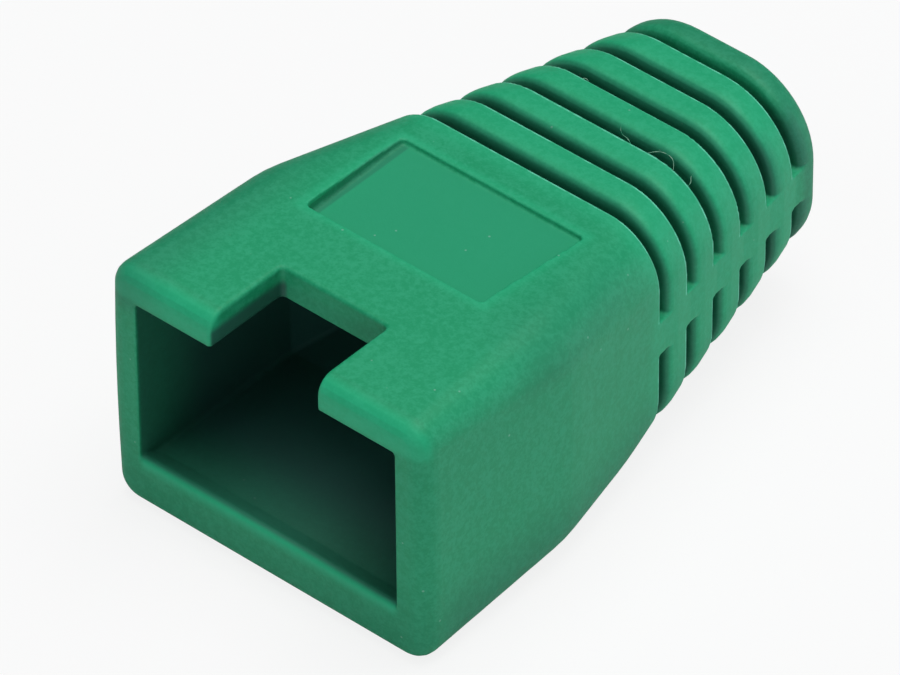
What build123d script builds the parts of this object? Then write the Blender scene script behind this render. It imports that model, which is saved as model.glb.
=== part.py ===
"""Strain relief boot for an eight-way modular plug, moulded in one piece of soft plastic.

The boot is a straight rectangular shell that slides over the back of the plug,
then a tail that tapers to a ring. The tail is cut into ribs by slots that run over
and under it, so that it can bend, and a spine along each side ties the ribs
together. Inside, the plug pocket narrows to a round cable bore.

X runs across the boot, Y from the mouth to the tail and Z up. The origin is in the
middle of the footprint, on the flat underside that the boot rests on.
"""
from build123d import *
from math import cos, radians, sin
import os

# Lengths along the boot, from the mouth
overall_length = 24.9
shell_length = 7.75
underside_length = 12.0

# Mouth and pocket, for the back of the plug, and the walls round it
mouth_width = 12.1
mouth_height = 7.3
pocket_depth = 8.0
pocket_radius = 0.15
side_wall = 1.3
roof_thickness = 1.35
floor_thickness = 2.1

# Low lip across the floor of the mouth
lip_height = 0.35
lip_length = 0.95
lip_radius = 0.65 * lip_height

# Cable bore, and the walls of the ring at its end
bore_diameter = 6.0
bore_length = 8.7
axis_height = 5.75
ring_side_wall = 1.375
ring_top_wall = 0.7

# How far the walls beside the pocket bow outwards
side_bow = 0.12

# Corners of the outer form: at the mouth, before the first slot, behind it and at the end of the tail
mouth_corner_radius = 1.05
shoulder_top_radius = 2.25
shoulder_bottom_radius = 2.7
first_rib_top_radius = 2.6
first_rib_bottom_radius = 2.7
tail_top_radius = 3.25
tail_bottom_radius = 2.6

# Rounding of the mouth's rim, the creases where the tapers begin and the end of the tail
rim_radius = 0.75
rim_steps = 5
crease_blend = 0.6
end_radius = 0.55
end_steps = 4
shoulder_margin = 0.1

# Latch notch in the roof of the mouth
notch_width = 4.95
notch_depth = 3.75
notch_corner_radius = 0.2
notch_edge_radius = 0.15

# Shallow pocket on top, with a level floor
recess_front_width = 8.2
recess_back_width = 8.45
recess_length = 5.3
recess_to_slots = 1.7
recess_back_depth = 0.2
recess_corner_radius = 0.2

# Slots and ribs of the tail
slot_count = 6
slot_pitch = 1.85
slot_width = 0.55
spine_height = 1.5
rib_radius = 0.35
rib_steps = 3
rib_crown = 0.06

clear = 1.0
shell_width = mouth_width + 2 * side_wall
shell_height = floor_thickness + mouth_height + roof_thickness
tail_width = bore_diameter + 2 * ring_side_wall
tail_height = bore_diameter + 2 * ring_top_wall
tail_bottom = axis_height - tail_height / 2
tail_top = axis_height + tail_height / 2
mouth_ceiling = floor_thickness + mouth_height
bore_start = overall_length - bore_length
slots_start = overall_length - slot_count * slot_pitch


def past(crease, y):
    """How far y lies past a crease, eased in by a parabola."""
    into_blend = y - crease + crease_blend
    if into_blend <= 0:
        return 0.0
    if into_blend >= 2 * crease_blend:
        return y - crease
    return into_blend**2 / (4 * crease_blend)


def tapered(at_shell, at_tail, crease, y):
    """Size of the outer form at y: constant as far as the crease, then in a straight taper."""
    return at_shell + (at_tail - at_shell) * past(crease, y) / (overall_length - crease)


def outer_top(y):
    return tapered(shell_height, tail_top, shell_length, y)


def corner_radius(y, shoulder_radius, first_rib_radius, end_corner_radius):
    """Corners grow from the mouth to the first slot, and from there to the end of the tail."""
    if y <= slots_start:
        return mouth_corner_radius + (shoulder_radius - mouth_corner_radius) * y / slots_start
    along_tail = (y - slots_start) / (overall_length - slots_start)
    return first_rib_radius + (end_corner_radius - first_rib_radius) * along_tail


def slot_start(index):
    return slots_start + index * slot_pitch


def crown(y):
    """How far the tail swells outwards at y: not in the middle of a slot, most in the middle of a rib."""
    past_slot = y - slots_start - slot_width / 2
    if past_slot <= 0:
        return 0.0
    half_pitch = slot_pitch / 2
    return rib_crown * (1 - abs(past_slot % slot_pitch - half_pitch) / half_pitch)


def bow(y):
    """How far the side walls bow out at y: fully as far as the shell, then less towards the slots."""
    if y >= slots_start:
        return 0.0
    return side_bow * min(1.0, (slots_start - y) / (slots_start - shell_length))


def cross_plane(y):
    """The plane across the boot at y, with local X to the right and local Y up."""
    return Plane.XZ.offset(-y)


def side_edge(x, start, end, bowed):
    """Side of a section from one height to another, bowed outwards at the middle."""
    if not bowed:
        return Line((x, start), (x, end))
    outwards = bowed if x > 0 else -bowed
    return ThreePointArc((x, start), (x + outwards, (start + end) / 2), (x, end))


def rounded_section(y, width, bottom, top, bottom_radius, top_radius, bowed=0.0):
    """A rectangle across the boot at y, with its own radii below and above, and bowed sides."""
    half = width / 2
    outline = [
        Line((-half, bottom), (half, bottom)),
        side_edge(half, bottom, top, bowed),
        Line((half, top), (-half, top)),
        side_edge(-half, top, bottom, bowed),
    ]
    section = make_face(outline)
    section = fillet(section.vertices().group_by(Axis.Y)[0], bottom_radius)
    section = fillet(section.vertices().group_by(Axis.Y)[-1], top_radius)
    return cross_plane(y) * section


def outer_section(y, inset=0.0):
    """Section of the outer form at y, moved in all round by the inset."""
    inset = inset - crown(y)
    width = tapered(shell_width, tail_width, shell_length, y) - 2 * inset
    bottom = tapered(0.0, tail_bottom, underside_length, y) + inset
    lower = corner_radius(y, shoulder_bottom_radius, first_rib_bottom_radius, tail_bottom_radius)
    upper = corner_radius(y, shoulder_top_radius, first_rib_top_radius, tail_top_radius)
    return rounded_section(y, width, bottom, outer_top(y) - inset, lower - inset, upper - inset, bow(y))


def rounded_start(y, radius, steps, direction=1):
    """Sections that round the outer form off towards a flat end at y, from the end inwards."""
    angles = [radians(90 * step / steps) for step in range(steps + 1)]
    return [outer_section(y + direction * radius * (1 - cos(a)), radius * (1 - sin(a))) for a in angles]


def outer_form():
    """Straight shell, shoulder whose corners grow rounder, and the tail, which swells at each rib."""
    stations = [slots_start - shoulder_margin]
    for crease in (shell_length, underside_length):
        stations += [crease - crease_blend, crease, crease + crease_blend]
    for index in range(slot_count):
        slot_middle = slot_start(index) + slot_width / 2
        stations += [slot_middle, slot_middle + slot_pitch / 2]
    mouth = rounded_start(0.0, rim_radius, rim_steps)
    middle = [outer_section(y) for y in sorted(stations)]
    end = rounded_start(overall_length, end_radius, end_steps, direction=-1)
    return loft([*mouth, *middle, *reversed(end)], ruled=True)


def bore_circle():
    return cross_plane(bore_start) * Pos(0, axis_height) * Circle(bore_diameter / 2)


def pocket_section(y):
    return rounded_section(y, mouth_width, floor_thickness, mouth_ceiling, pocket_radius, pocket_radius)


def pocket():
    """Hollow for the plug: straight from the mouth, then a funnel down to the bore."""
    straight = loft([pocket_section(-clear), pocket_section(pocket_depth)], ruled=True)
    return straight + loft([pocket_section(pocket_depth), bore_circle()], ruled=True)


def cable_bore():
    return extrude(bore_circle(), -(bore_length + clear))


def lip():
    """Low ramp across the floor just inside the mouth, which holds the plug back."""
    outline = Polyline(
        (0, floor_thickness),
        (0, floor_thickness + lip_height),
        (lip_length, floor_thickness),
        close=True,
    )
    crest = make_face(outline).vertices().sort_by(Axis.Y)[-1]
    return extrude(Plane.YZ.offset(-mouth_width / 2) * fillet(crest, lip_radius), mouth_width)


def latch_notch():
    """Opening in the roof, from the mouth back, that clears the plug's latch."""
    height = roof_thickness + 2 * clear
    length = notch_depth + clear
    block = Box(notch_width, length, height, align=(Align.CENTER, Align.MIN, Align.MIN))
    block = fillet(block.edges().filter_by(Axis.Z).group_by(Axis.Y)[-1], notch_corner_radius)
    return Pos(0, -clear, mouth_ceiling - clear) * block


def is_notch_rim(edge):
    """True for edges where the notch breaks the outer surface, not for its upright back corners."""
    box = edge.bounding_box()
    beside = max(-box.min.X, box.max.X) < notch_width / 2 + 0.001
    within = beside and box.max.Y < notch_depth + 0.001 and box.max.Z > mouth_ceiling + 0.001
    upright = box.size.X + box.size.Y < 0.001
    return within and not (upright and box.min.Y > 0.001)


def recess():
    """Shallow pocket on top. Its floor is level, so the falling roof makes it shallower behind."""
    back = slots_start - recess_to_slots
    front = back - recess_length
    outline = Polyline(
        (-recess_front_width / 2, front),
        (recess_front_width / 2, front),
        (recess_back_width / 2, back),
        (-recess_back_width / 2, back),
        close=True,
    )
    outline = fillet(make_face(outline).vertices(), recess_corner_radius)
    return extrude(Plane.XY.offset(outer_top(back) - recess_back_depth) * outline, clear)


def slots():
    """Slots through to the bore, above and below the spines. The rib behind each has a rounded front."""
    reach = shell_height / 2 + clear
    blade = Box(shell_width, slot_width + rib_radius, reach, align=(Align.CENTER, Align.MIN, Align.MIN))
    cuts = []
    for index in range(slot_count):
        start = slot_start(index)
        rib_front = loft(rounded_start(start + slot_width, rib_radius, rib_steps), ruled=True)
        above = Pos(0, start, axis_height + spine_height / 2) * blade
        below = Pos(0, start, axis_height - spine_height / 2 - reach) * blade
        cuts += [above - rib_front, below - rib_front]
    return cuts


def boot():
    body = outer_form() - [pocket(), cable_bore()] + lip() - latch_notch()
    body = fillet(body.edges().filter_by(is_notch_rim), notch_edge_radius)
    body -= [recess(), *slots()]
    return Pos(0, -overall_length / 2, 0) * body


os.makedirs("parts", exist_ok=True)
export_step(boot(), "parts/boot.step")
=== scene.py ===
"""Dresses the strain relief boot: its soft green moulding, its mould flash and the plain studio round it."""
import math

import bpy
from mathutils import Matrix, Vector


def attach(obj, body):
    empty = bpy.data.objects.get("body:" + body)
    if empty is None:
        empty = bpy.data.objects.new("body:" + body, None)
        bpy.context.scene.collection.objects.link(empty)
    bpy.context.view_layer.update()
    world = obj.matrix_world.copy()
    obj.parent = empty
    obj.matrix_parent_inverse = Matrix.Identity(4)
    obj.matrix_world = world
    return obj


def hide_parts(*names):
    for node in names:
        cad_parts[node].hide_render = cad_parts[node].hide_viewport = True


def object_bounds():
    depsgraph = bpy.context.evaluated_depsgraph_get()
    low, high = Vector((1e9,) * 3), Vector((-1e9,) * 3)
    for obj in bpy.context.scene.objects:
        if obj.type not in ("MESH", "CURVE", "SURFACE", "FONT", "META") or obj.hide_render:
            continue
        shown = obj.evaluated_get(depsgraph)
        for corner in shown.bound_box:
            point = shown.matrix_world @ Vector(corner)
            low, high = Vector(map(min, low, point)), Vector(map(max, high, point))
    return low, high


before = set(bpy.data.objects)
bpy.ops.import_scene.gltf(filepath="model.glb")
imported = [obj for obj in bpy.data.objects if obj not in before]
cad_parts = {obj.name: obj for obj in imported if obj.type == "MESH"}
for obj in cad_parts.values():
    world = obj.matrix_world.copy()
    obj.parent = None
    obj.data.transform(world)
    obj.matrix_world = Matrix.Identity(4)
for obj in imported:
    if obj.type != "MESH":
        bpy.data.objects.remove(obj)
cad_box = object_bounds()


# Boot. One injection moulding in soft plastic, green all through, with a fine matt grain from the
# mould. A copy of the solid is remeshed into one skin of fine even faces and smoothed a little, so that
# its edges are as softly round as moulded ones.

class Wire:
    """A node's output that can be used in sums."""

    def __init__(self, nodes, socket):
        self.nodes = nodes
        self.socket = socket

    def __add__(self, other):
        return self.nodes.math("ADD", self, other)

    def __radd__(self, other):
        return self.nodes.math("ADD", other, self)

    def __sub__(self, other):
        return self.nodes.math("SUBTRACT", self, other)

    def __rsub__(self, other):
        return self.nodes.math("SUBTRACT", other, self)

    def __mul__(self, other):
        return self.nodes.math("MULTIPLY", self, other)

    def __rmul__(self, other):
        return self.nodes.math("MULTIPLY", other, self)


class Nodes:
    """The node tree of one material."""

    def __init__(self, name):
        self.material = bpy.data.materials.new(name)
        self.material.use_nodes = True
        self.tree = self.material.node_tree
        self.tree.nodes.clear()

    def node(self, kind, settings=None, inputs=None, output=0):
        """Adds a node, sets it up, fills its sockets and returns one of its outputs."""
        made = self.tree.nodes.new("ShaderNode" + kind)
        for name, value in (settings or {}).items():
            setattr(made, name, value)
        for name, value in (inputs or {}).items():
            if isinstance(value, Wire):
                self.tree.links.new(value.socket, made.inputs[name])
            else:
                made.inputs[name].default_value = value
        return Wire(self, made.outputs[output]) if made.outputs else None

    def math(self, operation, first, second):
        return self.node("Math", {"operation": operation}, {0: first, 1: second})

    def absolute(self, value):
        return self.node("Math", {"operation": "ABSOLUTE"}, {0: value})

    def fraction(self, value):
        return self.node("Math", {"operation": "FRACT"}, {0: value})

    def mix(self, factor, first, second):
        """A colour between two colours."""
        return self.node("Mix", {"data_type": "RGBA"}, {0: factor, 6: first, 7: second}, output=2)

    def after(self, value, start, soft):
        """0 as far as start, then rising to 1 over a soft width."""
        settings = {"interpolation_type": "SMOOTHSTEP"}
        inputs = {"Value": value, "From Min": start, "From Max": start + soft}
        return self.node("MapRange", settings, inputs)

    def before(self, value, end, soft):
        """1 as far as end, then falling to 0 over a soft width."""
        return 1 - self.after(value, end, soft)

    def within(self, value, low, high, soft):
        """1 between low and high and 0 outside them, with soft limits on the inside."""
        return self.after(value, low, soft) * self.before(value, high - soft, soft)


mm = 0.001
mouth = cad_box[0][1]
pocket_half_width = 6.05 * mm
pocket_floor = 2.1 * mm
pocket_ceiling = 9.4 * mm
pocket_dark_length = 11.5 * mm
lip_top = 2.45 * mm
notch_half_width = 2.475 * mm
notch_depth = 3.75 * mm
recess_floor = 10.22 * mm
recess_half_width = 4.1 * mm
recess_front = mouth + 6.8 * mm
recess_back = mouth + 12.1 * mm
slots_start = mouth + 13.8 * mm
slots_end = mouth + 23.5 * mm
slot_pitch = 1.85 * mm
last_ribs_start = slots_start + 2.5 * slot_pitch
axis_height = 5.75 * mm
spine_half_height = 0.75 * mm


def soft_green_plastic():
    """Green soft plastic with a fine mould grain, painted highlights on its edges and ribs, pale burrs, dust
    specks and painted shade in its hollows.
    """
    nodes = Nodes("soft_green_plastic")
    place = nodes.node("TexCoord", output="Object")
    x, y, z = (nodes.node("SeparateXYZ", None, {"Vector": place}, output=axis) for axis in range(3))
    aside = nodes.absolute(x)

    def noise(size, detail, roughness):
        inputs = {"Vector": place, "Scale": 1 / size, "Detail": detail, "Roughness": roughness}
        return nodes.node("TexNoise", None, inputs)

    # Mould grain over faint clouds. The floor of the recess on top is smoother.
    plain = (0.008, 0.335, 0.144, 1)
    pale = (0.022, 0.392, 0.188, 1)
    smooth = (0.013, 0.348, 0.172, 1)
    clouds = noise(size=2.5 * mm, detail=3.0, roughness=0.7)
    grain = noise(size=0.3 * mm, detail=2.0, roughness=1.0)
    recess = (
        nodes.within(z, recess_floor - 0.1 * mm, recess_floor + 0.04 * mm, soft=0.03 * mm)
        * nodes.before(aside, recess_half_width - 0.1 * mm, soft=0.1 * mm)
        * nodes.within(y, recess_front, recess_back, soft=0.2 * mm)
    )
    grained = (4.0 * (grain - 0.5) + 1.2 * (clouds - 0.5)) * (1 - 0.75 * recess)
    colour = nodes.mix(0.6 * recess, nodes.mix(0.45 + grained, plain, pale), smooth)

    # Painted highlight: a paler colour in place of light on the ribs, the mouth's lip and brow, and the rim
    # of the recess.
    painted_highlight = (0.024, 0.590, 0.285, 1)
    ribs = nodes.within(y, slots_start - 1.0 * mm, slots_end + 0.2 * mm, soft=0.8 * mm)
    lip = (
        nodes.before(y, mouth + 0.2 * mm, soft=0.25 * mm)
        * nodes.after(z, pocket_floor - 0.4 * mm, soft=0.5 * mm)
        * nodes.before(z, lip_top, soft=0.1 * mm)
        * nodes.before(aside, pocket_half_width - 0.25 * mm, soft=0.4 * mm)
    )
    brow = (
        nodes.before(y, mouth + 0.3 * mm, soft=0.4 * mm)
        * nodes.after(z, pocket_ceiling - 0.1 * mm, soft=0.4 * mm)
    )
    rim = (
        nodes.within(y, recess_front - 0.5 * mm, recess_back + 0.5 * mm, soft=0.4 * mm)
        * nodes.before(aside, recess_half_width + 0.15 * mm, soft=0.45 * mm)
        * nodes.after(z, recess_floor + 0.05 * mm, soft=0.1 * mm)
    )
    colour = nodes.mix(0.22 * ribs + 0.7 * lip + 0.5 * brow + 0.25 * rim, colour, painted_highlight)

    # Pale burr and painted highlight along the rear edge of each rib, except where the spines cross it.
    # past_slot runs from 0 to 1 over each slot and the rib behind it. A rib's rear wall is flat and belongs
    # to the slot, so the count starts a little before the wall.
    burr_and_highlight = (0.150, 0.680, 0.450, 1)
    before_wall = 0.02 * mm
    past_slot = nodes.fraction((y - slots_start + before_wall) * (1 / slot_pitch))
    off_spine = nodes.after(nodes.absolute(z - axis_height), spine_half_height, soft=0.1 * mm)
    along_slots = nodes.within(y, slots_start - 0.2 * mm, slots_end, soft=0.1 * mm)
    rear_edge = nodes.after(past_slot, 0.95, soft=0.015) * along_slots * off_spine
    patchy = nodes.after(noise(size=0.5 * mm, detail=2.0, roughness=0.5), 0.40, soft=0.20)
    colour = nodes.mix(rear_edge * (0.25 + 0.7 * patchy), colour, burr_and_highlight)

    # Dust specks.
    dust = (0.25, 0.55, 0.42, 1)
    speck_spacing = 1.1 * mm
    to_speck = nodes.node("TexVoronoi", None, {"Vector": place, "Scale": 1 / speck_spacing})
    colour = nodes.mix(0.55 * nodes.before(to_speck, 0.025, soft=0.03), colour, dust)

    # Painted shade, a darker colour in place of shade where the moulding is hollow: the pocket, more so
    # deep inside, the notch, mostly its side walls, the slots and the left wall of the recess.
    painted_shade = (0.020, 0.070, 0.064, 1)
    above_ceiling = nodes.after(z, pocket_ceiling - 0.02 * mm, soft=0.05 * mm)
    pocket = (
        nodes.within(y, mouth, mouth + pocket_dark_length, soft=0.2 * mm)
        * (1 - above_ceiling)
        * nodes.after(z, pocket_floor - 0.3 * mm, soft=0.1 * mm)
        * nodes.before(aside, pocket_half_width + 0.15 * mm, soft=0.3 * mm)
    )
    deeper = nodes.after(y, mouth + 1.0 * mm, soft=3.0 * mm)
    notch = (
        nodes.before(y, mouth + notch_depth + 0.01 * mm, soft=0.05 * mm)
        * nodes.before(aside, notch_half_width, soft=0.05 * mm)
        * above_ceiling
        * nodes.before(z, pocket_ceiling + 0.5 * mm, soft=0.4 * mm)
    )
    notch_side = nodes.after(aside, notch_half_width - 0.3 * mm, soft=0.2 * mm)
    slot = nodes.before(past_slot, 0.29, soft=0.18) * along_slots * off_spine
    recess_wall = (
        nodes.within(x, -recess_half_width - 0.2 * mm, 0.3 * mm - recess_half_width, soft=0.1 * mm)
        * nodes.within(y, recess_front, recess_back, soft=0.2 * mm)
        * nodes.within(z, recess_floor - 0.1 * mm, recess_floor + 0.4 * mm, soft=0.1 * mm)
    )
    colour = nodes.mix(pocket * (0.66 + 0.26 * deeper), colour, painted_shade)
    colour = nodes.mix(notch * (0.12 + 0.68 * notch_side) + 0.58 * slot, colour, painted_shade)

    # Painted shade too, a little darker: the fronts of the last ribs' sides, the end ring, the long
    # corners of the roof, and the lowest part of the outside, more so behind the mouth's rim.
    rib_side = (
        nodes.after(y, last_ribs_start, soft=slots_end - last_ribs_start)
        * nodes.before(y, slots_end + 0.8 * mm, soft=0.2 * mm)
        * nodes.before(past_slot, 0.3, soft=0.4)
        * nodes.before(z, 8.0 * mm, soft=1.2 * mm)
        * off_spine
    )
    ring = nodes.after(y, slots_end, soft=0.6 * mm)
    right_corner = (
        nodes.within(y, mouth + 4.0 * mm, slots_start, soft=3.0 * mm)
        * nodes.after(x, 4.0 * mm, soft=2.5 * mm)
    )
    left_corner = (
        nodes.before(y, slots_start - 1.0 * mm, soft=1.0 * mm)
        * nodes.before(x, -6.5 * mm, soft=2.3 * mm)
    )
    corners = (0.16 * right_corner + 0.26 * left_corner) * nodes.after(z, 8.5 * mm, soft=1.0 * mm)
    behind_rim = nodes.after(y, mouth + 0.5 * mm, soft=1.5 * mm)
    lowest = nodes.before(z, 0.5 * mm, soft=4.0 * mm) * (0.18 + 0.17 * behind_rim)
    darkened = 0.55 * rib_side + 0.28 * ring + corners + 0.35 * recess_wall + lowest
    colour = nodes.mix(darkened, colour, painted_shade)

    grain_depth = 0.02 * mm
    bump = nodes.node("Bump", None, {"Strength": 0.3, "Distance": grain_depth, "Height": grain})
    skin = nodes.node("BsdfPrincipled", None, {
        "Base Color": colour,
        "Roughness": 0.52 + 0.1 * grain,
        "Specular IOR Level": 0.35,
        "Normal": bump,
    })
    nodes.node("OutputMaterial", None, {"Surface": skin})
    return nodes.material


# The skin is made in millimetres, because its faces are too small for the remesh in metres. Only a
# share of its faces is kept, which leaves the flat parts with large ones.
skin_face_mm = 0.06
kept_share = 0.13
to_millimetres = Matrix.Scale(1000, 4)
to_metres = Matrix.Scale(0.001, 4)

bpy.ops.object.select_all(action="DESELECT")
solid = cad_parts["boot"]
solid.select_set(True)
bpy.context.view_layer.objects.active = solid
bpy.ops.object.duplicate()
boot = bpy.context.object
boot.name = "boot_moulding"
bpy.ops.object.mode_set(mode="EDIT")
bpy.ops.mesh.select_all(action="SELECT")
bpy.ops.mesh.remove_doubles(threshold=0.0005 * mm)
bpy.ops.object.mode_set(mode="OBJECT")
boot.data.transform(to_millimetres)
skin = boot.modifiers.new("skin", "REMESH")
skin.mode = "VOXEL"
skin.voxel_size = skin_face_mm
skin.use_smooth_shade = True
softening = boot.modifiers.new("softening", "SMOOTH")
softening.factor = 0.5
softening.iterations = 1
thinning = boot.modifiers.new("thinning", "DECIMATE")
thinning.ratio = kept_share
bpy.ops.object.convert(target="MESH")
boot.data.transform(to_metres)
boot.data.materials.clear()
boot.data.materials.append(soft_green_plastic())
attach(boot, "root")
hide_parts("boot")


# Mould flash. A few whiskers of the same plastic, as thin as hair, drawn out where the mould's blades
# meet and still held at the edges of the third and fourth slots. Their points are in millimetres.

whisker_thickness_mm = 0.03
whisker_taper = 0.5
whiskers = [
    [(1.80, 5.02, 9.98), (1.66, 5.12, 10.12), (1.25, 5.06, 10.20), (1.18, 5.22, 10.46)],
    [(2.55, 5.03, 9.98), (2.78, 5.28, 10.10), (3.25, 5.42, 10.08), (3.62, 5.30, 9.96), (3.74, 5.03, 9.83)],
    [(4.42, 5.02, 9.49), (4.52, 5.14, 9.60), (4.40, 5.22, 9.84), (4.50, 5.30, 9.98)],
    [(-2.04, 6.87, 9.85), (-1.92, 6.96, 9.95), (-1.76, 6.88, 9.86)],
]


def pale_whisker():
    """Thin stretched plastic, paler than the moulding."""
    nodes = Nodes("pale_whisker")
    place = nodes.node("TexCoord", output="Object")
    green = (0.03, 0.30, 0.16, 1)
    stretched = (0.35, 0.62, 0.45, 1)
    patch_size = 0.3 * mm
    patches = nodes.node("TexNoise", None, {"Vector": place, "Scale": 1 / patch_size})
    colour = nodes.mix(nodes.after(patches, 0.4, soft=0.2), green, stretched)
    skin = nodes.node("BsdfPrincipled", None, {"Base Color": colour, "Roughness": 0.45 + 0.1 * patches})
    nodes.node("OutputMaterial", None, {"Surface": skin})
    return nodes.material


bpy.ops.object.select_all(action="DESELECT")
bpy.ops.curve.primitive_nurbs_path_add()
flash = bpy.context.object
flash.name = "mould_flash"
flash.data.splines.clear()
for whisker in whiskers:
    strand = flash.data.splines.new("NURBS")
    strand.points.add(len(whisker) - 1)
    for index, (point, spot) in enumerate(zip(strand.points, whisker)):
        point.co = (*spot, 1)
        point.radius = 1 - whisker_taper * index / (len(whisker) - 1)
    strand.order_u = 3
    strand.use_endpoint_u = True
flash.data.bevel_depth = whisker_thickness_mm / 2
flash.data.bevel_resolution = 1
flash.data.use_fill_caps = True
bpy.ops.object.convert(target="MESH")
flash.data.transform(to_metres)
flash.data.materials.append(pale_whisker())
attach(flash, "root")


# Studio. A white floor that runs back as the backdrop, under soft lamps. The camera sees it almost
# pure white, with a faint shadow of the boot.

white = (1, 1, 1, 1)
floor_size = 3.0
air_strength = 0.04


def white_sweep():
    """White paint that shows mostly as even white to the camera and as plain paint to the boot."""
    nodes = Nodes("white_sweep")
    glowing_share = 0.85
    seen = nodes.node("LightPath", output="Is Camera Ray")
    paint = nodes.node("BsdfDiffuse", None, {"Color": (0.86, 0.86, 0.86, 1)})
    glow = nodes.node("Emission", None, {"Color": white, "Strength": 1.0})
    surface = nodes.node("MixShader", None, {0: glowing_share * seen, 1: paint, 2: glow})
    nodes.node("OutputMaterial", None, {"Surface": surface})
    return nodes.material


bpy.ops.object.select_all(action="DESELECT")
bpy.ops.mesh.primitive_plane_add(size=floor_size, location=(0, 0, 0))
floor = bpy.context.object
floor.name = "floor"
floor.data.materials.append(white_sweep())


cool = (0.82, 0.91, 1.0)
cooler = (0.76, 0.88, 1.0)


def soft_lamp(name, place, size, power, colour=(1, 1, 1)):
    """A square lamp that faces the boot."""
    lamp = bpy.data.lights.new(name, "AREA")
    lamp.color = colour
    lamp.shape = "SQUARE"
    lamp.size = size
    lamp.energy = power
    holder = bpy.data.objects.new(name, lamp)
    holder.location = place
    holder.rotation_euler = Vector(place).to_track_quat("Z", "Y").to_euler()
    bpy.context.scene.collection.objects.link(holder)


soft_lamp("lamp_above", (0.02, 0.05, 0.36), size=0.30, power=1.10)
soft_lamp("lamp_front_above", (0.0, -0.25, 0.28), size=0.20, power=0.17, colour=cool)
soft_lamp("lamp_front", (0.18, -0.34, 0.04), size=0.12, power=0.174, colour=cool)
soft_lamp("lamp_right", (0.08, 0.08, 0.03), size=0.05, power=0.025, colour=cooler)

world = bpy.data.worlds.new("studio_air")
world.use_nodes = True
air = world.node_tree.nodes["Background"]
air.inputs["Color"].default_value = white
air.inputs["Strength"].default_value = air_strength
bpy.context.scene.world = world
bpy.context.scene.view_settings.view_transform = "Standard"


# Camera. It stands well back from the mouth's side, above and to the right, and looks down at the boot
# through a long lens, from where the photograph was taken.

camera_azimuth = math.radians(41.556)
camera_elevation = math.radians(40.312)
camera_roll = math.radians(0.5)
camera_distance = 0.33947
camera_aim = Vector((0.0019515, -0.0048941, 0.0074914))

back = Vector((
    math.sin(camera_azimuth) * math.cos(camera_elevation),
    -math.cos(camera_azimuth) * math.cos(camera_elevation),
    math.sin(camera_elevation),
))
level = Vector((math.cos(camera_azimuth), math.sin(camera_azimuth), 0))
upright = back.cross(level)
right = math.cos(camera_roll) * level - math.sin(camera_roll) * upright
up = math.sin(camera_roll) * level + math.cos(camera_roll) * upright
lens = bpy.data.cameras.new("camera")
lens.sensor_width = 36
lens.lens = 387.73
lens.clip_start = 0.01
lens.clip_end = 10
camera = bpy.data.objects.new("camera", lens)
turn = Matrix((right, up, back)).transposed().to_4x4()
camera.matrix_world = Matrix.Translation(camera_aim + camera_distance * back) @ turn
bpy.context.scene.collection.objects.link(camera)
bpy.context.scene.camera = camera
